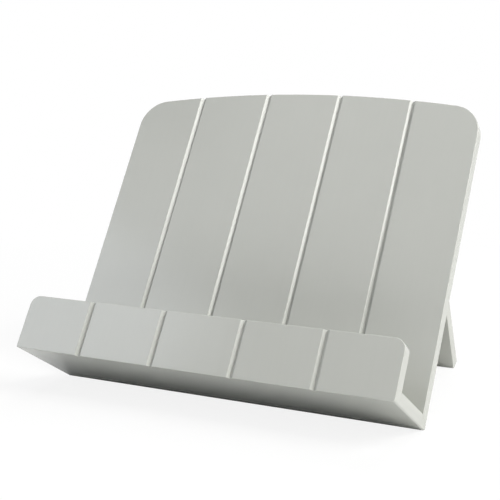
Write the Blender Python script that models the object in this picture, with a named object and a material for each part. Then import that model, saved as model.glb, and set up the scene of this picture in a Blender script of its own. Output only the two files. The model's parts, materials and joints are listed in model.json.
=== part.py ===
"""Folding wooden cookbook stand.

A V-grooved back board with an arched top leans back on a hinged leg. In front of the board a
shelf and a grooved lip hold the book. The leg turns on two brass loose-pin hinges set in the
inside corner between leg and board. Its top end is bevelled, so that it comes to bear on the
back of the board when the leg is open, and it folds to lie behind the board.

Board frame: X along the width, Y through the board towards the back, Z up the board. Its origin
is the middle of the board's rear bottom edge. The stand rests on that edge and on the foot of
the leg, which sets the lean of the board.
"""

import math

import bmesh
import bpy
from mathutils import Vector

# Panels: board, shelf and lip are cut to one width and finish flush at their ends
STAND_WIDTH = 0.340
BOARD_HEIGHT = 0.2928
BOARD_THICKNESS = 0.0115
BOARD_CORNER_RADIUS = 0.027
ARCH_RADIUS = 1.140
SHELF_DEPTH = 0.061
SHELF_THICKNESS = 0.0105
LIP_HEIGHT = 0.0475
LIP_THICKNESS = 0.012
LIP_CORNER_RADIUS = 0.009
BOTTOM_CORNER_RADIUS = 0.0015
ARRIS_RADIUS = 0.0005
GLUE_GAP = 0.0003

# V-grooves down the front of board and lip, which mark out five planks: the middle one, an inner
# one on each side of it, and the rest of the width
MIDDLE_PLANK_WIDTH = 0.0727
INNER_PLANK_WIDTH = 0.0701
GROOVE_WIDTH = 0.0054
GROOVE_DEPTH = 0.0027

# Leg: its length runs along the inner face, from the bevel to the foot
LEG_WIDTH = 0.277
LEG_LENGTH = 0.188
LEG_THICKNESS = 0.0115
LEG_OPEN_ANGLE = math.radians(57.5)
BEVEL_GAP = 0.0003
FOOT_TRIM = 0.00085

# Hinges: the pin's height is measured up the back of the board, the inset from the leg's side
# to the middle of the hinge
PIN_HEIGHT = 0.1915
PIN_RADIUS = 0.0011
PIN_HEAD_RADIUS = 0.0019
PIN_HEAD_LENGTH = 0.0014
HINGE_INSET = 0.0535
HINGE_LENGTH = 0.038
KNUCKLE_COUNT = 5
BARREL_RADIUS = 0.0026
LEAF_REACH = 0.0145
LEAF_THICKNESS = 0.0012
FIT_CLEARANCE = 0.0003

# Countersunk wood screws, two in each leaf
SCREW_SPACING = 0.023
SCREW_DROP = 0.0088
SCREW_LENGTH = 0.009
SCREW_HEAD_RADIUS = 0.0021
SCREW_SHANK_RADIUS = 0.0011
SCREW_POINT_LENGTH = 0.0018
SCREW_TIP_RADIUS = 0.0002
SCREW_SLOT_WIDTH = 0.0006
SCREW_SLOT_DEPTH = 0.0004

# Hidden beech dowels, one behind each plank
DOWEL_RADIUS = 0.003
DOWEL_LENGTH = 0.022
DOWEL_IN_PANEL = 0.008
DOWEL_CHAMFER = 0.0006

# How far a cutter runs past the surface that it opens
OVERRUN = 0.002

# Two places closer than this count as the same
MATCH_TOLERANCE = ARRIS_RADIUS / 100

ROUND_STEPS = 24
SMALL_ROUND_STEPS = 16
CORNER_STEPS = 8
ARCH_STEPS = 12
SMALL_CORNER_STEPS = 3
ARRIS_STEPS = 2
SMOOTH_ANGLE = math.radians(35)

PAINT = ("grey_paint", (0.500, 0.510, 0.470, 1.0), 0.45, 0.0)
BRASS = ("brass", (0.780, 0.570, 0.270, 1.0), 0.30, 1.0)
BEECH = ("beech", (0.620, 0.430, 0.250, 1.0), 0.60, 0.0)

BOARD_FRONT = -BOARD_THICKNESS
LIP_BACK = BOARD_FRONT - SHELF_DEPTH
LIP_FRONT = LIP_BACK - LIP_THICKNESS

# The barrel touches neither wood: both faces lie one clearance off it
PIN_TO_FACE = BARREL_RADIUS + FIT_CLEARANCE
LEG_SIN = math.sin(LEG_OPEN_ANGLE)
LEG_COS = math.cos(LEG_OPEN_ANGLE)


def bevel_height(across):
    """Height of the leg's bevel in the leg's frame, at the distance across from the pin."""
    return (across * LEG_COS + PIN_TO_FACE - BEVEL_GAP) / LEG_SIN


LEG_INNER = PIN_TO_FACE
LEG_OUTER = LEG_INNER + LEG_THICKNESS
LEG_FOOT = bevel_height(LEG_INNER) - LEG_LENGTH


def leg_to_board(across, up):
    """A point of the leg's frame, given in the board frame as its Y and Z."""
    return (PIN_TO_FACE + across * LEG_COS - up * LEG_SIN,
            PIN_HEIGHT + across * LEG_SIN + up * LEG_COS)


FOOT_BACK, FOOT_UP = leg_to_board(LEG_INNER, LEG_FOOT)
LEAN = math.atan2(FOOT_UP, FOOT_BACK)
LEG_LEAN = LEG_OPEN_ANGLE - LEAN


def depth_in_world(back, up):
    """World Y of a point of the board frame, counted from the board's rear bottom edge."""
    return back * math.cos(LEAN) + up * math.sin(LEAN)


FRONT_REACH = depth_in_world(LIP_FRONT + ARRIS_RADIUS, ARRIS_RADIUS) - ARRIS_RADIUS
BACK_REACH = ARRIS_RADIUS + depth_in_world(
    *leg_to_board(LEG_OUTER - ARRIS_RADIUS, LEG_FOOT + ARRIS_RADIUS))


def clear_scene():
    for item in list(bpy.data.objects):
        bpy.data.objects.remove(item, do_unlink=True)


def make_material(name, colour, roughness, metallic):
    material = bpy.data.materials.new(name)
    material.use_nodes = True
    shader = material.node_tree.nodes["Principled BSDF"]
    shader.inputs["Base Color"].default_value = colour
    shader.inputs["Roughness"].default_value = roughness
    shader.inputs["Metallic"].default_value = metallic
    return material


def make_frame(name, parent, place, turn):
    """An empty whose axes a group of pieces is modelled in."""
    frame = bpy.data.objects.new(name, None)
    bpy.context.collection.objects.link(frame)
    frame.parent = parent
    frame.location = place
    frame.rotation_euler = (turn, 0, 0)
    return frame


def make_mesh(name, bm, material=None):
    """A mesh from a bmesh, with its faces pointing out."""
    bmesh.ops.recalc_face_normals(bm, faces=bm.faces)
    mesh = bpy.data.meshes.new(name)
    bm.to_mesh(mesh)
    bm.free()
    if material:
        mesh.materials.append(material)
        mesh.shade_smooth()
        mesh.set_sharp_from_angle(angle=SMOOTH_ANGLE)
    return mesh


def place_mesh(name, mesh, parent, place=(0, 0, 0), turn=(0, 0, 0)):
    """An object on a mesh. One without a material is a cutter, which isn't rendered."""
    item = bpy.data.objects.new(name, mesh)
    bpy.context.collection.objects.link(item)
    item.parent = parent
    item.location = place
    item.rotation_euler = turn
    if not mesh.materials:
        item.hide_render = True
        item.display_type = "WIRE"
    return item


def add_object(name, bm, parent, material=None):
    return place_mesh(name, make_mesh(name, bm, material), parent)


def cut(item, cutter):
    boolean = item.modifiers.new(cutter.name, "BOOLEAN")
    boolean.operation = "DIFFERENCE"
    boolean.solver = "EXACT"
    boolean.object = cutter


def arc(centre, radius, start, end, steps):
    """Points on an arc, both ends included."""
    angles = [start + (end - start) * i / steps for i in range(steps + 1)]
    return [(centre[0] + radius * math.cos(a), centre[1] + radius * math.sin(a)) for a in angles]


def with_mirror(right_half):
    """A closed outline from the half that lies at positive X."""
    return right_half + [(-x, z) for x, z in reversed(right_half) if x > 0]


def xz_outline(x, z, y):
    return Vector((x, y, z))


def yz_outline(y, z, x):
    return Vector((x, y, z))


def add_prism(bm, outline, low, high, place):
    """Extrude an outline from low to high along the axis that place leaves out."""
    corners = [bm.verts.new(place(a, b, low)) for a, b in outline]
    face = bm.faces.new(corners)
    extruded = bmesh.ops.extrude_face_region(bm, geom=[face])["geom"]
    moved = [part for part in extruded if isinstance(part, bmesh.types.BMVert)]
    bmesh.ops.translate(bm, verts=moved, vec=place(0, 0, high - low))


def add_turned(bm, profile, steps, centre=Vector((0, 0, 0)), towards=Vector((0, 0, 1))):
    """Turn a profile of (distance along, radius) pairs about the axis towards, from centre."""
    turn = Vector((0, 0, 1)).rotation_difference(towards).to_matrix()
    rings = []
    for along, radius in profile:
        circle = arc((0, 0), radius, 0, 2 * math.pi, steps)[:-1]
        rings.append([bm.verts.new(centre + turn @ Vector((x, y, along))) for x, y in circle])
    bm.faces.new(rings[0])
    bm.faces.new(rings[-1])
    for near, far in zip(rings, rings[1:]):
        for i in range(steps):
            bm.faces.new((near[i - 1], near[i], far[i], far[i - 1]))


def ease_edges(bm, wanted):
    """Round the edges whose midpoint and direction the function wanted picks."""
    edges = []
    for edge in bm.edges:
        first, second = (vert.co for vert in edge.verts)
        if wanted((first + second) / 2, (second - first).normalized()):
            edges.append(edge)
    bmesh.ops.bevel(bm, geom=edges, offset=ARRIS_RADIUS, offset_type="OFFSET",
                    segments=ARRIS_STEPS, profile=0.5, affect="EDGES", clamp_overlap=False)


def same(a, b):
    return math.isclose(a, b, abs_tol=MATCH_TOLERANCE)


def in_plane(point, along, y):
    """True for an edge that lies in the plane at y."""
    return same(point.y, y) and same(along.y, 0)


def bottom_corner():
    centre = (STAND_WIDTH / 2 - BOTTOM_CORNER_RADIUS, BOTTOM_CORNER_RADIUS)
    return arc(centre, BOTTOM_CORNER_RADIUS, -math.pi / 2, 0, SMALL_CORNER_STEPS)


def groove_places():
    near = MIDDLE_PLANK_WIDTH / 2
    far = near + INNER_PLANK_WIDTH
    return [-far, -near, near, far]


def plank_centres():
    edges = [-STAND_WIDTH / 2] + groove_places() + [STAND_WIDTH / 2]
    return [(left + right) / 2 for left, right in zip(edges, edges[1:])]


def hinge_centres():
    right = LEG_WIDTH / 2 - HINGE_INSET
    return [-right, right]


def cut_grooves(panel, front, height, parent):
    """V-grooves with their mouths in the plane at y = front, over the panel's whole height."""
    bm = bmesh.new()
    flare = OVERRUN / GROOVE_DEPTH
    half_mouth = GROOVE_WIDTH / 2 * (1 + flare)
    for x in groove_places():
        triangle = [(x - half_mouth, front - OVERRUN), (x + half_mouth, front - OVERRUN),
                    (x, front + GROOVE_DEPTH)]
        add_prism(bm, triangle, -OVERRUN, height + OVERRUN, lambda a, b, c: Vector((a, b, c)))
    cut(panel, add_object(panel.name + "_grooves", bm, parent))


def dowel_profile(grow):
    """A dowel with chamfered ends, or the bore that takes it when grow is its clearance."""
    length = DOWEL_LENGTH + 2 * grow
    radius = DOWEL_RADIUS + grow
    chamfer = DOWEL_CHAMFER
    return [(-grow, radius - chamfer), (chamfer - grow, radius),
            (length - grow - chamfer, radius), (length - grow, radius - chamfer)]


def dowel_places(joint, panel_side):
    """Where the dowels of one joint end in the panel, on the side -1 or +1 in Y of the joint."""
    end = joint + panel_side * DOWEL_IN_PANEL
    return [Vector((x, end, SHELF_THICKNESS / 2)) for x in plank_centres()]


def make_dowels(name, mesh, joint, panel_side, panels, parent):
    """Dowels between the shelf and a panel, and their bores in both."""
    bores = bmesh.new()
    for i, place in enumerate(dowel_places(joint, panel_side)):
        turn = (panel_side * math.pi / 2, 0, 0)
        place_mesh(f"{name}_{i + 1}", mesh, parent, place, turn)
        add_turned(bores, dowel_profile(FIT_CLEARANCE), SMALL_ROUND_STEPS, place,
                   Vector((0, -panel_side, 0)))
    cutter = add_object(name + "_bores", bores, parent)
    for panel in panels:
        cut(panel, cutter)


def make_board(parent, material):
    """The back board: straight sides, round corners and a shallow arch along the top."""
    arch_centre = BOARD_HEIGHT - ARCH_RADIUS
    corner_x = STAND_WIDTH / 2 - BOARD_CORNER_RADIUS
    corner_rise = math.sqrt((ARCH_RADIUS - BOARD_CORNER_RADIUS) ** 2 - corner_x ** 2)
    meeting = math.atan2(corner_rise, corner_x)
    side = STAND_WIDTH / 2
    right = bottom_corner()
    right.append((side, SHELF_THICKNESS))
    right += arc((corner_x, arch_centre + corner_rise), BOARD_CORNER_RADIUS, 0, meeting,
                 CORNER_STEPS)
    right += arc((0, arch_centre), ARCH_RADIUS, meeting, math.pi / 2, ARCH_STEPS)[1:-1]
    outline = with_mirror(right + [(0, BOARD_HEIGHT)])
    bm = bmesh.new()
    add_prism(bm, outline, BOARD_FRONT, 0, xz_outline)
    ease_edges(bm, lambda point, along: (
        in_plane(point, along, BOARD_FRONT) and point.z > SHELF_THICKNESS
        or in_plane(point, along, 0) and point.z > BOTTOM_CORNER_RADIUS))
    board = add_object("back_board", bm, parent, material)
    cut_grooves(board, BOARD_FRONT, BOARD_HEIGHT, parent)
    return board


def make_shelf(parent, material):
    """The shelf: a plain strip between board and lip, with rounded end corners."""
    side = STAND_WIDTH / 2 - BOTTOM_CORNER_RADIUS
    top = arc((side, SHELF_THICKNESS - BOTTOM_CORNER_RADIUS), BOTTOM_CORNER_RADIUS,
              0, math.pi / 2, SMALL_CORNER_STEPS)
    bm = bmesh.new()
    add_prism(bm, with_mirror(bottom_corner() + top), LIP_BACK + GLUE_GAP,
              BOARD_FRONT - GLUE_GAP, xz_outline)
    return add_object("shelf", bm, parent, material)


def make_lip(parent, material):
    """The lip: a low panel with round top corners that stands on the shelf's front edge."""
    side = STAND_WIDTH / 2
    right = bottom_corner()
    right.append((side, SHELF_THICKNESS))
    right += arc((side - LIP_CORNER_RADIUS, LIP_HEIGHT - LIP_CORNER_RADIUS), LIP_CORNER_RADIUS,
                 0, math.pi / 2, CORNER_STEPS)
    bm = bmesh.new()
    add_prism(bm, with_mirror(right), LIP_FRONT, LIP_BACK, xz_outline)
    ease_edges(bm, lambda point, along: (
        in_plane(point, along, LIP_FRONT)
        or in_plane(point, along, LIP_BACK) and point.z > SHELF_THICKNESS))
    lip = add_object("front_lip", bm, parent, material)
    cut_grooves(lip, LIP_FRONT, LIP_HEIGHT, parent)
    return lip


def make_leg(parent, material):
    """The leg, in its own frame on the pin: bevelled top end, square foot with a planed arris."""
    flat_across = FOOT_TRIM / math.sin(LEG_LEAN)
    flat_up = FOOT_TRIM / math.cos(LEG_LEAN)
    section = [(LEG_INNER, bevel_height(LEG_INNER)), (LEG_INNER, LEG_FOOT + flat_up),
               (LEG_INNER + flat_across, LEG_FOOT), (LEG_OUTER, LEG_FOOT),
               (LEG_OUTER, bevel_height(LEG_OUTER))]
    bm = bmesh.new()
    add_prism(bm, section, -LEG_WIDTH / 2, LEG_WIDTH / 2, yz_outline)
    ease_edges(bm, lambda point, along: same(along.x, 0) or same(point.y, LEG_OUTER))
    return add_object("prop_leg", bm, parent, material)


def trim_board_foot(board, parent):
    """Plane the board's rear bottom edge flat where it meets the floor."""
    flat_down = FOOT_TRIM / math.cos(LEAN)
    flat_across = FOOT_TRIM / math.sin(LEAN)
    step = OVERRUN / flat_down
    wedge = [(flat_across * step, flat_down * (1 + step)),
             (-flat_across * (1 + step), -flat_down * step),
             (flat_across * step, -flat_down * step)]
    bm = bmesh.new()
    reach = STAND_WIDTH / 2 + OVERRUN
    add_prism(bm, wedge, -reach, reach, yz_outline)
    cut(board, add_object("board_foot_trim", bm, parent))


def leaf_section(side):
    """A leaf curled round the pin. It lies against the wood on the side -1 or +1 in Y."""
    inner = BARREL_RADIUS - LEAF_THICKNESS
    meeting = math.acos(inner / BARREL_RADIUS)
    curl = arc((0, 0), BARREL_RADIUS, 0, 2 * math.pi - meeting, ROUND_STEPS)
    points = [(BARREL_RADIUS, -LEAF_REACH)] + curl + [(inner, -LEAF_REACH)]
    return [(side * y, z) for y, z in points]


def knuckle_spans(owner):
    """X ranges of the knuckles that the leaf owner, 0 or 1, leaves to the other leaf."""
    pitch = HINGE_LENGTH / KNUCKLE_COUNT
    spans = []
    for i in range(KNUCKLE_COUNT):
        if i % 2 != owner:
            low = -HINGE_LENGTH / 2 + i * pitch - FIT_CLEARANCE / 2
            high = low + pitch + FIT_CLEARANCE
            if i == 0:
                low -= OVERRUN
            if i == KNUCKLE_COUNT - 1:
                high += OVERRUN
            spans.append((low, high))
    return spans


def screw_places(side):
    """Where the screws enter: on the leaf's face, with the wood on the side -1 or +1 in Y."""
    face = side * (BARREL_RADIUS - LEAF_THICKNESS)
    return [Vector((x + offset, face, -SCREW_DROP)) for x in hinge_centres()
            for offset in (-SCREW_SPACING / 2, SCREW_SPACING / 2)]


def screw_profile(grow):
    """A countersunk screw from head to point, or the hole for it when grow is its clearance."""
    head = SCREW_HEAD_RADIUS + grow
    shank = SCREW_SHANK_RADIUS + grow
    cone = SCREW_HEAD_RADIUS - SCREW_SHANK_RADIUS
    length = SCREW_LENGTH + grow
    profile = [(0, head), (cone, shank), (length - SCREW_POINT_LENGTH, shank),
               (length, SCREW_TIP_RADIUS + grow)]
    if grow:
        profile[0] = (-OVERRUN, head + OVERRUN)
    return profile


def make_screw_meshes(material):
    """The mesh of a screw, and that of the cutter for the slot across its head."""
    screw = bmesh.new()
    add_turned(screw, screw_profile(0), SMALL_ROUND_STEPS)
    slot = bmesh.new()
    across = SCREW_SLOT_WIDTH / 2
    along = SCREW_HEAD_RADIUS + OVERRUN
    bar = [(-along, -across), (along, -across), (along, across), (-along, across)]
    add_prism(slot, bar, -OVERRUN, SCREW_SLOT_DEPTH, lambda a, b, c: Vector((a, b, c)))
    return make_mesh("screw", screw, material), make_mesh("screw_slot", slot)


def make_screws(name, meshes, side, parent):
    """The four slotted screws that hold one leaf of each hinge."""
    screw_mesh, slot_mesh = meshes
    for i, place in enumerate(screw_places(side)):
        numbered = f"{name}_{i + 1}"
        screw = place_mesh(numbered, screw_mesh, parent, place, (-side * math.pi / 2, 0, 0))
        cut(screw, place_mesh(numbered + "_slot", slot_mesh, screw))


def make_screw_holes(name, side, parent):
    bm = bmesh.new()
    for place in screw_places(side):
        add_turned(bm, screw_profile(FIT_CLEARANCE), SMALL_ROUND_STEPS, place,
                   Vector((0, side, 0)))
    return add_object(name, bm, parent)


def make_leaf(name, x, owner, side, screw_holes, parent, material):
    """One hinge leaf centred on x: curled knuckles, gaps for the other leaf, bore and holes."""
    bm = bmesh.new()
    add_prism(bm, leaf_section(side), x - HINGE_LENGTH / 2, x + HINGE_LENGTH / 2, yz_outline)
    leaf = add_object(name, bm, parent, material)

    gaps = bmesh.new()
    clear = BARREL_RADIUS + FIT_CLEARANCE
    reach = BARREL_RADIUS + OVERRUN
    window = [(-reach, -clear), (reach, -clear), (reach, reach), (-reach, reach)]
    for low, high in knuckle_spans(owner):
        add_prism(gaps, window, x + low, x + high, yz_outline)
    cut(leaf, add_object(name + "_gaps", gaps, parent))

    bore = bmesh.new()
    end = HINGE_LENGTH / 2 + OVERRUN
    add_turned(bore, [(-end, PIN_RADIUS + FIT_CLEARANCE), (end, PIN_RADIUS + FIT_CLEARANCE)],
               SMALL_ROUND_STEPS, Vector((x, 0, 0)), Vector((1, 0, 0)))
    cut(leaf, add_object(name + "_bore", bore, parent))
    cut(leaf, screw_holes)


def make_pin_mesh(material):
    """A loose pin with a button head, which stays outside the hinge."""
    half = HINGE_LENGTH / 2
    chamfer = PIN_RADIUS / 4
    head_start = half + FIT_CLEARANCE
    head_end = head_start + PIN_HEAD_LENGTH
    profile = [(-half, PIN_RADIUS - chamfer), (chamfer - half, PIN_RADIUS),
               (head_start, PIN_RADIUS), (head_start + chamfer, PIN_HEAD_RADIUS),
               (head_end - chamfer, PIN_HEAD_RADIUS),
               (head_end, PIN_HEAD_RADIUS - 2 * chamfer)]
    bm = bmesh.new()
    add_turned(bm, profile, SMALL_ROUND_STEPS)
    return make_mesh("hinge_pin", bm, material)


def make_hinges(leg_frame, hinge_frame, board_holes, leg_holes, material):
    """Two hinges. Each pin goes in from the outer end and is tight in the board's leaf."""
    pin_mesh = make_pin_mesh(material)
    for x, hand in zip(hinge_centres(), ("left", "right")):
        make_leaf("hinge_board_leaf_" + hand, x, 0, -1, board_holes, hinge_frame, material)
        make_leaf("hinge_leg_leaf_" + hand, x, 1, 1, leg_holes, leg_frame, material)
        outward = (0, math.copysign(math.pi / 2, x), 0)
        place_mesh("hinge_pin_" + hand, pin_mesh, hinge_frame, (x, 0, 0), outward)


def build():
    clear_scene()
    paint = make_material(*PAINT)
    brass = make_material(*BRASS)
    beech = make_material(*BEECH)

    middle = (FRONT_REACH + BACK_REACH) / 2
    board_frame = make_frame("board_frame", None, (0, -middle, -FOOT_TRIM), -LEAN)
    pin_place = (0, PIN_TO_FACE, PIN_HEIGHT)
    hinge_frame = make_frame("hinge_frame", board_frame, pin_place, 0)
    leg_frame = make_frame("leg_frame", board_frame, pin_place, LEG_OPEN_ANGLE)

    board = make_board(board_frame, paint)
    shelf = make_shelf(board_frame, paint)
    lip = make_lip(board_frame, paint)
    leg = make_leg(leg_frame, paint)
    trim_board_foot(board, board_frame)

    dowel = bmesh.new()
    add_turned(dowel, dowel_profile(0), SMALL_ROUND_STEPS)
    dowel_mesh = make_mesh("dowel", dowel, beech)
    make_dowels("board_dowel", dowel_mesh, BOARD_FRONT, 1, (board, shelf), board_frame)
    make_dowels("lip_dowel", dowel_mesh, LIP_BACK, -1, (lip, shelf), board_frame)

    board_holes = make_screw_holes("board_screw_holes", -1, hinge_frame)
    leg_holes = make_screw_holes("leg_screw_holes", 1, leg_frame)
    cut(board, board_holes)
    cut(leg, leg_holes)
    screw_meshes = make_screw_meshes(brass)
    make_screws("board_leaf_screw", screw_meshes, -1, hinge_frame)
    make_screws("leg_leaf_screw", screw_meshes, 1, leg_frame)
    make_hinges(leg_frame, hinge_frame, board_holes, leg_holes, brass)


build()
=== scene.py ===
"""Looks of the folding cookbook stand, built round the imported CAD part.

The painted panels and the brass hinges are remade with finer edges than the solids have, in the
same two frames. Board frame: X along the width, Y through the board towards the back, Z up the
board, from the middle of its rear bottom edge. Leg frame: the same axes turned about the pin.
"""

import json
import math

import bmesh
import bpy
from mathutils import Matrix, Vector


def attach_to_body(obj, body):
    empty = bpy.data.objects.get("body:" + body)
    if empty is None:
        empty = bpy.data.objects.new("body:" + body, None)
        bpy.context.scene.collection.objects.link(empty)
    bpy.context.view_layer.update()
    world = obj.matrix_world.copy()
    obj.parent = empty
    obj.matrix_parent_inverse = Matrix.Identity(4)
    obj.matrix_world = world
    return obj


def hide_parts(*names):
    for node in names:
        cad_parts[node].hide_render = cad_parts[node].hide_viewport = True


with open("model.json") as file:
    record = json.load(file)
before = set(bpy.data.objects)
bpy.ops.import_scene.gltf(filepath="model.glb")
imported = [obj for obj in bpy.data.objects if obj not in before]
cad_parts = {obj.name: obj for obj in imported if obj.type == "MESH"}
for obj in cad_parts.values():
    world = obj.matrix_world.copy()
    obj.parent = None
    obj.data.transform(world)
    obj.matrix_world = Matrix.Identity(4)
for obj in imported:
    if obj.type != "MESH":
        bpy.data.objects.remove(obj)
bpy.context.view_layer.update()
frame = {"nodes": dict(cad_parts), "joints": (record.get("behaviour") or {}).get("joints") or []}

# Sizes of the solids in metres, and the angle between board and leg as the stand is open
STAND_WIDTH = 0.340
BOARD_HEIGHT = 0.2928
BOARD_THICKNESS = 0.0115
BOARD_CORNER_RADIUS = 0.027
ARCH_RADIUS = 1.140
SHELF_DEPTH = 0.061
SHELF_THICKNESS = 0.0105
LIP_HEIGHT = 0.0475
LIP_THICKNESS = 0.012
LIP_CORNER_RADIUS = 0.009
BOTTOM_CORNER_RADIUS = 0.0015
MIDDLE_PLANK_WIDTH = 0.0727
INNER_PLANK_WIDTH = 0.0701
GROOVE_WIDTH = 0.0054
GROOVE_DEPTH = 0.0027
LEG_WIDTH = 0.277
LEG_LENGTH = 0.188
LEG_THICKNESS = 0.0115
LEG_OPEN_ANGLE = math.radians(57.5)
BEVEL_GAP = 0.0003
FOOT_TRIM = 0.00085
PIN_HEIGHT = 0.1915
PIN_RADIUS = 0.0011
PIN_HEAD_RADIUS = 0.0019
PIN_HEAD_LENGTH = 0.0014
HINGE_INSET = 0.0535
HINGE_LENGTH = 0.038
KNUCKLE_COUNT = 5
BARREL_RADIUS = 0.0026
LEAF_REACH = 0.0145
LEAF_THICKNESS = 0.0012
FIT_CLEARANCE = 0.0003
SCREW_SPACING = 0.023
SCREW_DROP = 0.0088
SCREW_LENGTH = 0.009
SCREW_HEAD_RADIUS = 0.0021
SCREW_SHANK_RADIUS = 0.0011
SCREW_POINT_LENGTH = 0.0018
SCREW_SLOT_WIDTH = 0.0006
SCREW_SLOT_DEPTH = 0.0004

# Finish: the width of eased edges and what share of it grooves and feet get. OVERRUN is how far a
# cutter runs past what it cuts, and NEAR is the distance that counts as touching
ARRIS = 0.0006
GROOVE_MOUTH_SHARE = 0.35
GROOVE_BOTTOM_SHARE = 0.60
FOOT_SHARE = 0.35
LEAF_CORNER_RADIUS = 0.0022
METAL_EDGE = 0.00012
OVERRUN = 0.002
NEAR = 0.00001

# How finely round forms are stepped, and the angles that tell an edge from a facet
BOTTOM_CORNER_STEPS = 6
BOARD_CORNER_STEPS = 28
ARCH_STEPS = 40
SHELF_ARRIS_STEPS = 5
LIP_CORNER_STEPS = 24
CURL_STEPS = 56
LEAF_CORNER_STEPS = 10
BORE_STEPS = 32
PIN_STEPS = 36
DOME_RINGS = 9
DOME_STEP = math.radians(10)
SCREW_STEPS = 40
WOOD_EDGE_STEPS = 4
METAL_EDGE_STEPS = 2
FLAT_ANGLE = math.radians(0.5)
EDGE_ANGLE = math.radians(25)
SMOOTH_ANGLE = math.radians(30)
PIN_SMOOTH_ANGLE = math.radians(40)
FLAT_FACE_WEIGHT = 100

# The camera as fitted to the photo's edges: its place in metres, lens and sensor in millimetres
CAMERA_PLACE = (0.40351, -0.80529, 0.26214)
CAMERA_YAW = math.radians(26.085)
CAMERA_PITCH = math.radians(9.237)
CAMERA_ROLL = math.radians(0.380)
CAMERA_LENS = 74.344
CAMERA_SENSOR = 36
CAMERA_NEAREST = 0.01
CAMERA_SHIFT = (-0.0500, 0.0107)

BOARD_FRONT = -BOARD_THICKNESS
LIP_BACK = BOARD_FRONT - SHELF_DEPTH
LIP_FRONT = LIP_BACK - LIP_THICKNESS
SIDE = STAND_WIDTH / 2
PIN_TO_FACE = BARREL_RADIUS + FIT_CLEARANCE
LEG_INNER = PIN_TO_FACE
LEG_OUTER = LEG_INNER + LEG_THICKNESS


def bevel_height(across):
    rise = across * math.cos(LEG_OPEN_ANGLE) + PIN_TO_FACE - BEVEL_GAP
    return rise / math.sin(LEG_OPEN_ANGLE)


LEG_FOOT = bevel_height(LEG_INNER) - LEG_LENGTH
FOOT_BACK = (PIN_TO_FACE + LEG_INNER * math.cos(LEG_OPEN_ANGLE)
             - LEG_FOOT * math.sin(LEG_OPEN_ANGLE))
FOOT_UP = (PIN_HEIGHT + LEG_INNER * math.sin(LEG_OPEN_ANGLE)
           + LEG_FOOT * math.cos(LEG_OPEN_ANGLE))
LEAN = math.atan2(FOOT_UP, FOOT_BACK)
LEG_LEAN = LEG_OPEN_ANGLE - LEAN

# The pin's place in the row frame is the joint's, which places the board frame
PIN_IN_ROW = Vector(frame["joints"][0]["pos_m"])
BOARD_TURN = Matrix.Rotation(-LEAN, 4, "X")
PIN_IN_BOARD = Vector((0, PIN_TO_FACE, PIN_HEIGHT))
BOARD_FRAME = Matrix.Translation(PIN_IN_ROW - BOARD_TURN @ PIN_IN_BOARD) @ BOARD_TURN
HINGE_FRAME = BOARD_FRAME @ Matrix.Translation(PIN_IN_BOARD)
LEG_FRAME = HINGE_FRAME @ Matrix.Rotation(LEG_OPEN_ANGLE, 4, "X")


def arc(centre, radius, start, end, steps):
    angles = [start + (end - start) * i / steps for i in range(steps + 1)]
    return [(centre[0] + radius * math.cos(a), centre[1] + radius * math.sin(a)) for a in angles]


def with_mirror(right_half):
    return right_half + [(-x, z) for x, z in reversed(right_half) if x > NEAR]


def in_xz(x, z, y):
    return Vector((x, y, z))


def in_yz(y, z, x):
    return Vector((x, y, z))


def in_xy(x, y, z):
    return Vector((x, y, z))


def add_prism(bm, outline, low, high, place):
    """Extrude an outline from low to high along the axis that place leaves out."""
    corners = [bm.verts.new(place(a, b, low)) for a, b in outline]
    face = bm.faces.new(corners)
    extruded = bmesh.ops.extrude_face_region(bm, geom=[face])["geom"]
    moved = [part for part in extruded if isinstance(part, bmesh.types.BMVert)]
    bmesh.ops.translate(bm, verts=moved, vec=place(0, 0, high - low))


def add_turned(bm, profile, steps, turn=Matrix.Identity(4)):
    """Turn a profile of (distance along Z, radius) pairs about Z, then place it with turn."""
    rings = []
    for along, radius in profile:
        circle = arc((0, 0), radius, 0, 2 * math.pi, steps)[:-1]
        rings.append([bm.verts.new(turn @ Vector((x, y, along))) for x, y in circle])
    bm.faces.new(rings[0])
    bm.faces.new(rings[-1])
    for near, far in zip(rings, rings[1:]):
        for i in range(steps):
            bm.faces.new((near[i - 1], near[i], far[i], far[i - 1]))


def to_mesh(name, bm):
    bmesh.ops.recalc_face_normals(bm, faces=bm.faces)
    mesh = bpy.data.meshes.new(name)
    bm.to_mesh(mesh)
    bm.free()
    return mesh


def add_item(name, mesh):
    item = bpy.data.objects.new(name, mesh)
    bpy.context.scene.collection.objects.link(item)
    return item


def carve(mesh, *tools):
    """The mesh after Booleans: each tool is an operation and a bmesh."""
    item = add_item("work", mesh)
    cutters = []
    for operation, bm in tools:
        cutter = add_item("cutter", to_mesh("cutter", bm))
        boolean = item.modifiers.new("cut", "BOOLEAN")
        boolean.operation = operation
        boolean.solver = "EXACT"
        boolean.object = cutter
        cutters.append(cutter)
    bpy.context.view_layer.update()
    graph = bpy.context.evaluated_depsgraph_get()
    result = bpy.data.meshes.new_from_object(item.evaluated_get(graph))
    for spent in cutters + [item]:
        bpy.data.objects.remove(spent)
    return result


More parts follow.
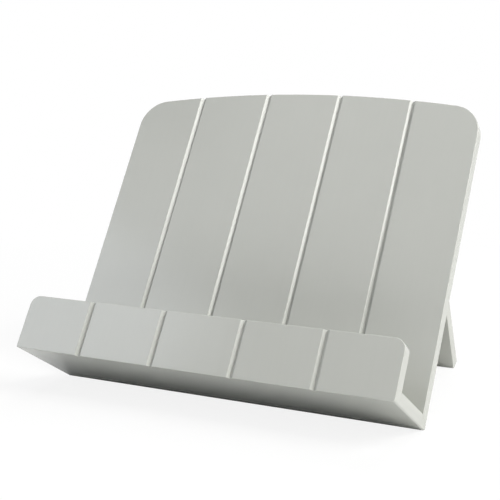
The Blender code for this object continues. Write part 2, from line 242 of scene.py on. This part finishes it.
def weigh_edges(mesh, weigh):
    """Give each sharp edge the share of the easing that weigh finds for its middle.

    An edge with no share stays sharp in the shading too. The points level with the shelf's top
    stay, so that an edge can be eased above the shelf and not beside it.
    """
    bm = bmesh.new()
    bm.from_mesh(mesh)

    def level(edge):
        return all(abs(vert.co.z - SHELF_THICKNESS) < NEAR for vert in edge.verts)

    bmesh.ops.dissolve_limit(bm, angle_limit=FLAT_ANGLE,
                             verts=[vert for vert in bm.verts
                                    if abs(vert.co.z - SHELF_THICKNESS) > NEAR],
                             edges=[edge for edge in bm.edges if not level(edge)])
    layer = bm.edges.layers.float.new("bevel_weight_edge")
    for edge in bm.edges:
        if len(edge.link_faces) == 2 and edge.calc_face_angle() > EDGE_ANGLE:
            first, second = (vert.co for vert in edge.verts)
            edge[layer] = weigh((first + second) / 2, (second - first).normalized())
            edge.smooth = edge[layer] > 0
        elif level(edge):
            edge.smooth = False
    bm.to_mesh(mesh)
    bm.free()
    mesh.polygons.foreach_set("use_smooth", [True] * len(mesh.polygons))


def soften(item, width, steps, edge_material_with_highlight=None):
    """Ease the marked edges, and keep the flat faces flat in their shading."""
    bevel = item.modifiers.new("eased edges", "BEVEL")
    bevel.width = width
    bevel.segments = steps
    bevel.limit_method = "WEIGHT"
    bevel.use_clamp_overlap = False
    # The bevel's faces take the edge paint, which is lighter in patches: paint wear, and a painted
    # highlight on the eased edges
    if edge_material_with_highlight:
        item.data.materials.append(edge_material_with_highlight)
        bevel.material = 1
    keep_flat(item)


def keep_flat(item):
    weighted = item.modifiers.new("flat faces", "WEIGHTED_NORMAL")
    weighted.keep_sharp = True
    weighted.weight = FLAT_FACE_WEIGHT


def place_piece(name, mesh, matrix, body, material, slot_name, *nodes):
    """A piece whose mesh is in the row frame, standing for CAD nodes."""
    mesh.transform(matrix)
    item = add_item(name, mesh)
    mesh.materials.clear()
    mesh.materials.append(material)
    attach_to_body(item, body)
    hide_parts(*nodes)
    return item


def groove_places():
    near = MIDDLE_PLANK_WIDTH / 2
    far = near + INNER_PLANK_WIDTH
    return [-far, -near, near, far]


def groove_cutter(front, height):
    bm = bmesh.new()
    half_mouth = GROOVE_WIDTH / 2 * (1 + OVERRUN / GROOVE_DEPTH)
    for x in groove_places():
        outline = [(x - half_mouth, front - OVERRUN), (x + half_mouth, front - OVERRUN),
                   (x, front + GROOVE_DEPTH)]
        add_prism(bm, outline, -OVERRUN, height + OVERRUN, in_xy)
    return bm


def groove_share(point, front):
    """The share of the easing for an edge in a groove, or None outside the grooves."""
    for x in groove_places():
        off = abs(point.x - x)
        if off < NEAR and abs(point.y - front - GROOVE_DEPTH) < NEAR:
            return GROOVE_BOTTOM_SHARE
        if off < GROOVE_WIDTH / 2 + NEAR and point.y > front - NEAR:
            if abs(off - GROOVE_WIDTH / 2) < NEAR or point.y < front + GROOVE_DEPTH:
                return GROOVE_MOUTH_SHARE
    return None


def bottom_corner():
    centre = (SIDE - BOTTOM_CORNER_RADIUS, BOTTOM_CORNER_RADIUS)
    return arc(centre, BOTTOM_CORNER_RADIUS, -math.pi / 2, 0,
               BOTTOM_CORNER_STEPS)


def make_board(material, edge_material_with_highlight):
    arch_centre = BOARD_HEIGHT - ARCH_RADIUS
    corner_x = SIDE - BOARD_CORNER_RADIUS
    corner_rise = math.sqrt((ARCH_RADIUS - BOARD_CORNER_RADIUS) ** 2 - corner_x ** 2)
    meeting = math.atan2(corner_rise, corner_x)
    right = bottom_corner() + [(SIDE, SHELF_THICKNESS)]
    right += arc((corner_x, arch_centre + corner_rise), BOARD_CORNER_RADIUS, 0, meeting,
                 BOARD_CORNER_STEPS)
    right += arc((0, arch_centre), ARCH_RADIUS, meeting, math.pi / 2, ARCH_STEPS)[1:-1]
    bm = bmesh.new()
    add_prism(bm, with_mirror(right + [(0, BOARD_HEIGHT)]), BOARD_FRONT, 0, in_xz)

    flat_down = FOOT_TRIM / math.cos(LEAN)
    flat_across = FOOT_TRIM / math.sin(LEAN)
    step = OVERRUN / flat_down
    wedge = [(flat_across * step, flat_down * (1 + step)),
             (-flat_across * (1 + step), -flat_down * step),
             (flat_across * step, -flat_down * step)]
    trim = bmesh.new()
    add_prism(trim, wedge, -SIDE - OVERRUN, SIDE + OVERRUN, in_yz)
    mesh = carve(to_mesh("back_board", bm), ("DIFFERENCE", groove_cutter(BOARD_FRONT, BOARD_HEIGHT)),
                 ("DIFFERENCE", trim))

    def weigh(point, along):
        share = groove_share(point, BOARD_FRONT)
        if share is not None:
            return share
        if abs(point.y - BOARD_FRONT) < NEAR:
            return 1.0 if point.z > SHELF_THICKNESS else 0.0
        if point.z < BOTTOM_CORNER_RADIUS + NEAR:
            return FOOT_SHARE if abs(along.x) > 0.5 else 0.0
        return 1.0

    weigh_edges(mesh, weigh)
    board = place_piece("painted_board", mesh, BOARD_FRAME, "stand", material, "grey_paint",
                        "back_board")
    soften(board, ARRIS, WOOD_EDGE_STEPS, edge_material_with_highlight)


def make_shelf(material):
    right = bottom_corner()
    right += arc((SIDE - ARRIS, SHELF_THICKNESS - ARRIS), ARRIS, 0, math.pi / 2,
                 SHELF_ARRIS_STEPS)
    bm = bmesh.new()
    add_prism(bm, with_mirror(right), LIP_BACK, BOARD_FRONT, in_xz)
    mesh = to_mesh("shelf", bm)
    mesh.shade_smooth()
    mesh.set_sharp_from_angle(angle=SMOOTH_ANGLE)
    shelf = place_piece("painted_shelf", mesh, BOARD_FRAME, "stand", material, "grey_paint",
                        "shelf")
    keep_flat(shelf)


def make_lip(material, edge_material_with_highlight):
    right = bottom_corner() + [(SIDE, SHELF_THICKNESS)]
    right += arc((SIDE - LIP_CORNER_RADIUS, LIP_HEIGHT - LIP_CORNER_RADIUS), LIP_CORNER_RADIUS,
                 0, math.pi / 2, LIP_CORNER_STEPS)
    bm = bmesh.new()
    add_prism(bm, with_mirror(right), LIP_FRONT, LIP_BACK, in_xz)
    mesh = carve(to_mesh("front_lip", bm), ("DIFFERENCE", groove_cutter(LIP_FRONT, LIP_HEIGHT)))

    def weigh(point, along):
        share = groove_share(point, LIP_FRONT)
        if share is not None:
            return share
        if abs(point.y - LIP_BACK) < NEAR:
            return 1.0 if point.z > SHELF_THICKNESS else 0.0
        return 1.0

    weigh_edges(mesh, weigh)
    lip = place_piece("painted_lip", mesh, BOARD_FRAME, "stand", material, "grey_paint",
                      "front_lip")
    soften(lip, ARRIS, WOOD_EDGE_STEPS, edge_material_with_highlight)


def make_leg(material, edge_material_with_highlight):
    flat_across = FOOT_TRIM / math.sin(LEG_LEAN)
    flat_up = FOOT_TRIM / math.cos(LEG_LEAN)
    section = [(LEG_INNER, bevel_height(LEG_INNER)), (LEG_INNER, LEG_FOOT + flat_up),
               (LEG_INNER + flat_across, LEG_FOOT), (LEG_OUTER, LEG_FOOT),
               (LEG_OUTER, bevel_height(LEG_OUTER))]
    bm = bmesh.new()
    add_prism(bm, section, -LEG_WIDTH / 2, LEG_WIDTH / 2, in_yz)

    def weigh(point, along):
        foot = point.z < LEG_FOOT + flat_up + NEAR and point.y < LEG_INNER + flat_across + NEAR
        return FOOT_SHARE if foot and abs(along.x) > 0.5 else 1.0

    mesh = to_mesh("prop_leg", bm)
    weigh_edges(mesh, weigh)
    leg = place_piece("painted_leg", mesh, LEG_FRAME, "leg", material, "grey_paint", "prop_leg")
    soften(leg, ARRIS, WOOD_EDGE_STEPS, edge_material_with_highlight)


def screw_turn(x, side):
    """Places a screw's own Z along its way into the wood, which lies on the side in Y."""
    face = side * (BARREL_RADIUS - LEAF_THICKNESS)
    return Matrix.Translation((x, face, -SCREW_DROP)) @ Matrix.Rotation(-side * math.pi / 2, 4, "X")


def screw_xs(x):
    return [x - SCREW_SPACING / 2, x + SCREW_SPACING / 2]


def make_leaf(name, x, owner, side, matrix, body, material):
    """A leaf curled round the pin, with knuckles, countersunk holes and round corners."""
    inner = BARREL_RADIUS - LEAF_THICKNESS
    meeting = math.acos(inner / BARREL_RADIUS)
    curl = arc((0, 0), BARREL_RADIUS, 0, 2 * math.pi - meeting, CURL_STEPS)
    section = [(BARREL_RADIUS, -LEAF_REACH)] + curl + [(inner, -LEAF_REACH)]
    bm = bmesh.new()
    half = HINGE_LENGTH / 2
    add_prism(bm, [(side * y, z) for y, z in section], x - half, x + half, in_yz)

    radius = LEAF_CORNER_RADIUS
    right = [(half + OVERRUN, 2 * BARREL_RADIUS), (half + OVERRUN, -BARREL_RADIUS),
             (half, -BARREL_RADIUS)]
    right += arc((half - radius, radius - LEAF_REACH), radius, 0, -math.pi / 2,
                 LEAF_CORNER_STEPS)
    outline = [(x + a, b) for a, b in with_mirror(right)]
    reach = 2 * BARREL_RADIUS
    shape = bmesh.new()
    add_prism(shape, outline, -reach, reach, in_xz)

    gaps = bmesh.new()
    clear = BARREL_RADIUS + FIT_CLEARANCE
    window = [(-reach, -clear), (reach, -clear), (reach, reach), (-reach, reach)]
    pitch = HINGE_LENGTH / KNUCKLE_COUNT
    for i in range(KNUCKLE_COUNT):
        if i % 2 != owner:
            low = x - half + i * pitch - FIT_CLEARANCE / 2
            high = low + pitch + FIT_CLEARANCE
            if i == 0:
                low -= OVERRUN
            if i == KNUCKLE_COUNT - 1:
                high += OVERRUN
            add_prism(gaps, window, low, high, in_yz)

    holes = bmesh.new()
    bore = PIN_RADIUS + FIT_CLEARANCE
    along_x = Matrix.Translation((x, 0, 0)) @ Matrix.Rotation(math.pi / 2, 4, "Y")
    add_turned(holes, [(-half - OVERRUN, bore), (half + OVERRUN, bore)], BORE_STEPS, along_x)
    cone = SCREW_HEAD_RADIUS - SCREW_SHANK_RADIUS
    profile = [(-OVERRUN, SCREW_HEAD_RADIUS + FIT_CLEARANCE + OVERRUN),
               (cone, SCREW_SHANK_RADIUS + FIT_CLEARANCE),
               (SCREW_LENGTH, SCREW_SHANK_RADIUS + FIT_CLEARANCE)]
    for place in screw_xs(x):
        add_turned(holes, profile, SCREW_STEPS, screw_turn(place, side))

    mesh = carve(to_mesh(name, bm), ("INTERSECT", shape), ("DIFFERENCE", gaps),
                 ("DIFFERENCE", holes))
    weigh_edges(mesh, lambda point, along: 1.0)
    leaf = place_piece("brass_" + name, mesh, matrix, body, material, "brass", name)
    soften(leaf, METAL_EDGE, METAL_EDGE_STEPS)


def make_pin(name, x, material):
    half = HINGE_LENGTH / 2
    start = half + FIT_CLEARANCE
    chamfer = PIN_RADIUS / 4
    dome = [(start + chamfer + (PIN_HEAD_LENGTH - chamfer) * math.sin(a),
             PIN_HEAD_RADIUS * math.cos(a)) for a in [DOME_STEP * i for i in range(DOME_RINGS)]]
    profile = [(-half, PIN_RADIUS - chamfer), (chamfer - half, PIN_RADIUS), (start, PIN_RADIUS),
               (start + NEAR, PIN_HEAD_RADIUS - chamfer)] + dome
    bm = bmesh.new()
    outward = Matrix.Rotation(math.copysign(math.pi / 2, x), 4, "Y")
    add_turned(bm, profile, PIN_STEPS, Matrix.Translation((x, 0, 0)) @ outward)
    mesh = to_mesh(name, bm)
    mesh.shade_smooth()
    mesh.set_sharp_from_angle(angle=PIN_SMOOTH_ANGLE)
    place_piece("brass_" + name, mesh, HINGE_FRAME, "stand", material, "brass", name)


def make_screw(name, x, side, twist, matrix, body, material):
    """A slotted countersunk screw. Its slot is turned by twist, as screws come to rest."""
    cone = SCREW_HEAD_RADIUS - SCREW_SHANK_RADIUS
    bm = bmesh.new()
    add_turned(bm, [(0, SCREW_HEAD_RADIUS - METAL_EDGE), (METAL_EDGE, SCREW_HEAD_RADIUS),
                    (cone, SCREW_SHANK_RADIUS),
                    (SCREW_LENGTH - SCREW_POINT_LENGTH, SCREW_SHANK_RADIUS),
                    (SCREW_LENGTH, SCREW_SHANK_RADIUS / 5)], SCREW_STEPS)
    slot = bmesh.new()
    across = SCREW_SLOT_WIDTH / 2
    along = SCREW_HEAD_RADIUS + OVERRUN
    bar = [(-along, -across), (along, -across), (along, across), (-along, across)]
    add_prism(slot, bar, -OVERRUN, SCREW_SLOT_DEPTH, in_xy)
    mesh = carve(to_mesh(name, bm), ("DIFFERENCE", slot))
    place = matrix @ screw_turn(x, side) @ Matrix.Rotation(twist, 4, "Z")
    mesh.shade_smooth()
    mesh.set_sharp_from_angle(angle=SMOOTH_ANGLE)
    place_piece("brass_" + name, mesh, place, body, material, "brass", name)


# How far each slot is turned: the board leaves' four screws, then the leg leaves' four
SLOT_TWISTS = [math.radians(a) for a in (12, 71, 138, 98, 160, 34, 83, 121)]
BOARD_SCREW_COUNT = 4


def make_hinges(material):
    right = LEG_WIDTH / 2 - HINGE_INSET
    for x, hand, number in ((-right, "left", 0), (right, "right", 2)):
        make_leaf("hinge_board_leaf_" + hand, x, 0, -1, HINGE_FRAME, "stand", material)
        make_leaf("hinge_leg_leaf_" + hand, x, 1, 1, LEG_FRAME, "leg", material)
        make_pin("hinge_pin_" + hand, x, material)
        for i, place in enumerate(screw_xs(x)):
            index = number + i
            make_screw(f"board_leaf_screw_{index + 1}", place, -1, SLOT_TWISTS[index],
                       HINGE_FRAME, "stand", material)
            make_screw(f"leg_leaf_screw_{index + 1}", place, 1,
                       SLOT_TWISTS[BOARD_SCREW_COUNT + index], LEG_FRAME, "leg", material)


class Nodes:
    """Short calls for building a node tree."""

    def __init__(self, tree):
        self.tree = tree

    def add(self, kind, inputs=None, **settings):
        node = self.tree.nodes.new(kind)
        for key, value in settings.items():
            setattr(node, key, value)
        for key, value in (inputs or {}).items():
            if isinstance(value, bpy.types.NodeSocket):
                self.tree.links.new(value, node.inputs[key])
            else:
                node.inputs[key].default_value = value
        return node

    def noise(self, vector, scale, detail=2.0, roughness=0.5):
        return self.add("ShaderNodeTexNoise", {"Vector": vector, "Scale": scale, "Detail": detail,
                                               "Roughness": roughness}).outputs["Fac"]

    def stretch(self, vector, scale):
        return self.add("ShaderNodeMapping", {"Vector": vector, "Scale": scale}).outputs[0]

    def to_range(self, value, low, high, out_low, out_high):
        return self.add("ShaderNodeMapRange", {"Value": value, "From Min": low, "From Max": high,
                                               "To Min": out_low, "To Max": out_high}).outputs[0]

    def sums(self, operation, first, second):
        return self.add("ShaderNodeMath", {0: first, 1: second}, operation=operation).outputs[0]

    def mix(self, share, first, second):
        node = self.add("ShaderNodeMix", {"Factor": share}, data_type="RGBA")
        for key, value in ((6, first), (7, second)):
            if isinstance(value, bpy.types.NodeSocket):
                self.tree.links.new(value, node.inputs[key])
            else:
                node.inputs[key].default_value = value
        return node.outputs[2]

    def bump(self, height, distance, normal=None):
        inputs = {"Height": height, "Distance": distance, "Strength": 1.0}
        if normal is not None:
            inputs["Normal"] = normal
        return self.add("ShaderNodeBump", inputs).outputs[0]

    def blend(self, share, first, second):
        """A mix of two shaders."""
        node = self.add("ShaderNodeMixShader", {0: share})
        self.tree.links.new(first.outputs[0], node.inputs[1])
        self.tree.links.new(second.outputs[0], node.inputs[2])
        return node

    def end(self, kind, shader):
        self.tree.links.new(shader.outputs[0], self.add(kind).inputs[0])


def empty_tree(owner):
    """The calls for a material's or the world's node tree, which is emptied first."""
    owner.use_nodes = True
    owner.node_tree.nodes.clear()
    return Nodes(owner.node_tree)


def new_material(name):
    material = bpy.data.materials.new(name)
    nodes = empty_tree(material)
    shader = nodes.add("ShaderNodeBsdfPrincipled")
    nodes.end("ShaderNodeOutputMaterial", shader)
    return material, nodes, shader


def attach(nodes, shader, **sockets):
    names = {"colour": "Base Color", "roughness": "Roughness", "normal": "Normal"}
    for key, value in sockets.items():
        nodes.tree.links.new(value, shader.inputs[names[key]])


# Finish of paint, brass and beech. A tone is a factor on the paint's colour, a height is in metres
# and a stretch is how finely a noise is drawn along X, Y and Z
WHITE = (1, 1, 1, 1)
PAINT_COLOUR = (0.500, 0.508, 0.472, 1)
PAINT_ROUGHNESS = (0.16, 0.21)
CLOUD_TONES = (0.985, 1.015)
GRAIN_TONE = 0.96
GRAIN_STRETCH = (420, 420, 9)
GRAIN_HEIGHT = 0.000006
PEEL_HEIGHT = 0.000009
# The next two values lighten the eased edges in patches: paint wear, and a painted highlight along
# every edge
EDGE_WEAR_AND_HIGHLIGHT = 0.25
WEAR_AND_HIGHLIGHT_TONE = 1.25
BRASS_COLOUR = (0.80, 0.58, 0.27, 1)
BRASS_ROUGHNESS = (0.20, 0.38)
TARNISH_COLOUR = (0.55, 0.37, 0.15, 1)
SCRATCH_STRETCH = (90, 4200, 4200)
SCRATCH_ROUGHNESS = 0.10
SCRATCH_HEIGHT = 0.000004
BEECH_COLOUR = (0.66, 0.47, 0.29, 1)
BEECH_ROUGHNESS = (0.55, 0.68)
BEECH_RING_COLOUR = (0.55, 0.37, 0.21, 1)
RING_STRETCH = (700, 60, 700)
RING_HEIGHT = 0.00003
BEECH_FLECK_COLOUR = (0.33, 0.20, 0.10, 1)
FLECK_STRETCH = (2400, 300, 2400)


def shade(colour, factor):
    return tuple(channel * factor for channel in colour[:3]) + (1,)


def turned_place(nodes, turn):
    """The place on the piece, turned about X so that Z runs up the panel it belongs to."""
    place = nodes.add("ShaderNodeTexCoord").outputs["Object"]
    return nodes.add("ShaderNodeMapping", {"Vector": place, "Rotation": (turn, 0, 0)}).outputs[0]


def make_paint(name, turn, wear_and_highlight=0.0):
    """Sprayed satin paint on fine hardwood: the grain barely telegraphs along the planks.

    wear_and_highlight is how far the colour lightens in patches, as paint does on handled edges, and
    as a painted highlight along the eased edges.
    """
    material, nodes, shader = new_material(name)
    place = turned_place(nodes, turn)
    clouds = nodes.noise(place, scale=14, detail=3)
    grain = nodes.noise(nodes.stretch(place, GRAIN_STRETCH), scale=1, detail=4, roughness=0.6)
    peel = nodes.noise(place, scale=950, detail=2, roughness=0.45)
    dust = nodes.noise(place, scale=2600, detail=1)

    dark, light = (shade(PAINT_COLOUR, tone) for tone in CLOUD_TONES)
    colour = nodes.mix(nodes.to_range(clouds, 0.3, 0.7, 0, 1), dark, light)
    colour = nodes.mix(nodes.to_range(grain, 0.35, 0.75, 0, 0.25), colour,
                       shade(PAINT_COLOUR, GRAIN_TONE))
    patches = nodes.noise(place, scale=120, detail=3, roughness=0.6)
    # Lighter in patches where this paint lies on the eased edges: paint wear, and a painted
    # highlight
    colour = nodes.mix(nodes.to_range(patches, 0.4, 0.65, 0.3 * wear_and_highlight, wear_and_highlight), colour,
                       shade(PAINT_COLOUR, WEAR_AND_HIGHLIGHT_TONE))
    rough = nodes.to_range(nodes.sums("ADD", clouds, dust), 0.7, 1.3, *PAINT_ROUGHNESS)
    normal = nodes.bump(peel, PEEL_HEIGHT, nodes.bump(grain, GRAIN_HEIGHT))
    attach(nodes, shader, colour=colour, roughness=rough, normal=normal)
    return material


def make_brass():
    """Rolled brass, lightly tarnished, with fine scratches along the hinge."""
    material, nodes, shader = new_material("rolled_brass")
    place = nodes.add("ShaderNodeTexCoord").outputs["Object"]
    tarnish = nodes.noise(place, scale=160, detail=4, roughness=0.6)
    scratches = nodes.noise(nodes.stretch(place, SCRATCH_STRETCH), scale=1, detail=3,
                            roughness=0.7)
    colour = nodes.mix(nodes.to_range(tarnish, 0.4, 0.7, 0, 0.7), BRASS_COLOUR, TARNISH_COLOUR)
    rough = nodes.sums("ADD", nodes.to_range(tarnish, 0.35, 0.7, *BRASS_ROUGHNESS),
                       nodes.to_range(scratches, 0.4, 0.7, 0, SCRATCH_ROUGHNESS))
    shader.inputs["Metallic"].default_value = 1.0
    attach(nodes, shader, colour=colour, roughness=rough,
           normal=nodes.bump(scratches, SCRATCH_HEIGHT))
    return material


def make_beech():
    """Bare turned beech for the hidden dowels: pale, with short dark flecks."""
    material, nodes, shader = new_material("bare_beech")
    place = turned_place(nodes, LEAN)
    rings = nodes.noise(nodes.stretch(place, RING_STRETCH), scale=1, detail=4, roughness=0.6)
    flecks = nodes.noise(nodes.stretch(place, FLECK_STRETCH), scale=1, detail=2)
    colour = nodes.mix(nodes.to_range(rings, 0.35, 0.65, 0, 1), BEECH_COLOUR, BEECH_RING_COLOUR)
    colour = nodes.mix(nodes.to_range(flecks, 0.62, 0.70, 0, 0.6), colour, BEECH_FLECK_COLOUR)
    rough = nodes.to_range(rings, 0.3, 0.7, *BEECH_ROUGHNESS)
    attach(nodes, shader, colour=colour, roughness=rough,
           normal=nodes.bump(rings, RING_HEIGHT))
    return material


def dress_dowels(material):
    """The dowels stay the CAD's own."""
    for name, node in frame["nodes"].items():
        if "dowel" in name:
            node.data.materials.clear()
            node.data.materials.append(material)


# The floor, in metres. Seen directly, its glow is FLOOR_GLOW_NEAR up to the first radius and 1 past
# the second. The FLOOR_MIRROR values say the same for mirrored light, where it sets in across
# FOOTPRINT_EDGE, from just inside the footprint to just outside. FOOTPRINT is half the stand's
# width and depth
FLOOR_HALF = 6
FLOOR_THICKNESS = 0.02
FLOOR_COLOUR = (0.93, 0.93, 0.93, 1)
FLOOR_GLOW_NEAR = 0.86
FLOOR_GLOW_RADIUS = (0.30, 0.95)
FLOOR_MIRROR_NEAR = 0.18
FLOOR_MIRROR_RADIUS = (0.45, 1.60)
FOOTPRINT = (0.170, 0.134)
FOOTPRINT_EDGE = (-0.004, 0.008)


def seen_or_mirrored(nodes):
    path = nodes.add("ShaderNodeLightPath").outputs
    direct = nodes.sums("MAXIMUM", path["Is Camera Ray"], path["Is Glossy Ray"])
    return nodes.sums("MAXIMUM", direct, path["Is Transmission Ray"])


def make_floor():
    """A pale floor that glows white far off, seen directly or mirrored.

    Near the stand it glows less, which keeps the soft shadow there, and least where it is
    mirrored. Mirrored under the stand it doesn't glow at all, so that the underside stays dark.
    """
    material = bpy.data.materials.new("pale_floor")
    nodes = empty_tree(material)
    plain = nodes.add("ShaderNodeBsdfDiffuse", {"Color": FLOOR_COLOUR})
    glow = nodes.add("ShaderNodeEmission", {"Color": WHITE, "Strength": 1.0})
    place = nodes.add("ShaderNodeTexCoord").outputs["Object"]
    away = nodes.add("ShaderNodeVectorMath", {0: place}, operation="LENGTH").outputs["Value"]
    direct = nodes.to_range(away, *FLOOR_GLOW_RADIUS, FLOOR_GLOW_NEAR, 1)
    axes = nodes.add("ShaderNodeSeparateXYZ", {0: place}).outputs
    past = [nodes.sums("SUBTRACT", nodes.sums("ABSOLUTE", axes[i], 0.0), FOOTPRINT[i])
            for i in range(2)]
    outside = nodes.to_range(nodes.sums("MAXIMUM", *past), *FOOTPRINT_EDGE, 0, 1)
    mirrored = nodes.sums("MULTIPLY", outside,
                          nodes.to_range(away, *FLOOR_MIRROR_RADIUS, FLOOR_MIRROR_NEAR, 1))
    straight = nodes.add("ShaderNodeLightPath").outputs["Is Camera Ray"]
    seen = nodes.blend(nodes.to_range(straight, 0, 1, mirrored, direct), plain, glow)
    nodes.end("ShaderNodeOutputMaterial", nodes.blend(seen_or_mirrored(nodes), plain, seen))
    square = [(-FLOOR_HALF, -FLOOR_HALF), (FLOOR_HALF, -FLOOR_HALF),
              (FLOOR_HALF, FLOOR_HALF), (-FLOOR_HALF, FLOOR_HALF)]
    bm = bmesh.new()
    add_prism(bm, square, -FLOOR_THICKNESS, 0, in_xy)
    floor = add_item("floor", to_mesh("floor", bm))
    floor.data.materials.append(material)


WORLD_LIGHT = (0.02, 0.02, 0.02, 1)


def make_world():
    world = bpy.data.worlds.new("studio")
    bpy.context.scene.world = world
    nodes = empty_tree(world)
    colour = nodes.mix(seen_or_mirrored(nodes), WORLD_LIGHT, WHITE)
    nodes.end("ShaderNodeOutputWorld",
              nodes.add("ShaderNodeBackground", {"Color": colour, "Strength": 1.0}))


# The soft boxes face a point inside the stand. Each has a name, the direction it stands in from
# there (degrees round from +X towards +Y, then degrees up), its distance, width and height in
# metres, a tint, and its power in watts for each square metre
LAMP_TARGET = Vector((0, 0, 0.10))
LAMPS = [
    ("key_box", -2, 42, 4.0, 2.60, 2.00, (1, 1, 0.98), 25.5),
    ("key_core", 2, 51, 4.0, 1.05, 0.98, (0.99, 1, 0.95), 18.2),
    ("side_fill", -24, 9, 3.0, 1.17, 0.74, (1, 1, 1), 6.9),
    ("window_box", -140, 25, 2.4, 0.89, 1.24, (0.86, 0.90, 1), 8.4),
    ("window_top", -148, 41, 2.4, 1.38, 0.42, (1, 1, 1), 2.2),
    ("top_left", -123, 57, 2.4, 1.02, 1.02, (1, 1, 1), 3.6),
    ("top_right", -62, 64, 2.4, 1.02, 0.68, (1, 1, 1), 15.1),
    ("back_box", 90, 50, 2.4, 1.38, 1.20, (1, 1, 1), 13.2),
]


def make_lamps():
    for name, azimuth, elevation, distance, width, height, tint, strength in LAMPS:
        data = bpy.data.lights.new(name, "AREA")
        data.shape = "RECTANGLE"
        data.size = width
        data.size_y = height
        data.color = tint
        data.energy = strength * width * height
        lamp = bpy.data.objects.new(name, data)
        bpy.context.scene.collection.objects.link(lamp)
        around = math.radians(azimuth)
        up = math.radians(elevation)
        outward = Vector((math.cos(around) * math.cos(up), math.sin(around) * math.cos(up),
                          math.sin(up)))
        lamp.location = LAMP_TARGET + distance * outward
        lamp.rotation_euler = (-outward).to_track_quat("-Z", "Y").to_euler()


def make_camera():
    data = bpy.data.cameras.new("camera")
    data.sensor_width = CAMERA_SENSOR
    data.lens = CAMERA_LENS
    data.shift_x, data.shift_y = CAMERA_SHIFT
    data.clip_start = CAMERA_NEAREST
    camera = bpy.data.objects.new("camera", data)
    bpy.context.scene.collection.objects.link(camera)
    camera.location = CAMERA_PLACE
    turn = (Matrix.Rotation(CAMERA_YAW, 3, "Z") @ Matrix.Rotation(math.pi / 2 - CAMERA_PITCH, 3, "X")
            @ Matrix.Rotation(CAMERA_ROLL, 3, "Z"))
    camera.rotation_euler = turn.to_euler()
    bpy.context.scene.camera = camera


make_camera()
paint = make_paint("satin_grey_paint", LEAN)
# The edge paint is lighter in patches: paint wear, and a painted highlight on every eased edge
edge_paint_with_highlight = make_paint("satin_grey_paint_worn_and_highlit_edges", LEAN, EDGE_WEAR_AND_HIGHLIGHT)
make_board(paint, edge_paint_with_highlight)
make_shelf(paint)
make_lip(paint, edge_paint_with_highlight)
make_leg(make_paint("satin_grey_paint_on_leg", -LEG_LEAN),
         make_paint("satin_grey_paint_worn_and_highlit_leg_edges", -LEG_LEAN, EDGE_WEAR_AND_HIGHLIGHT))
make_hinges(make_brass())
dress_dowels(make_beech())
make_floor()
make_world()
make_lamps()
bpy.context.scene.view_settings.view_transform = "Standard"
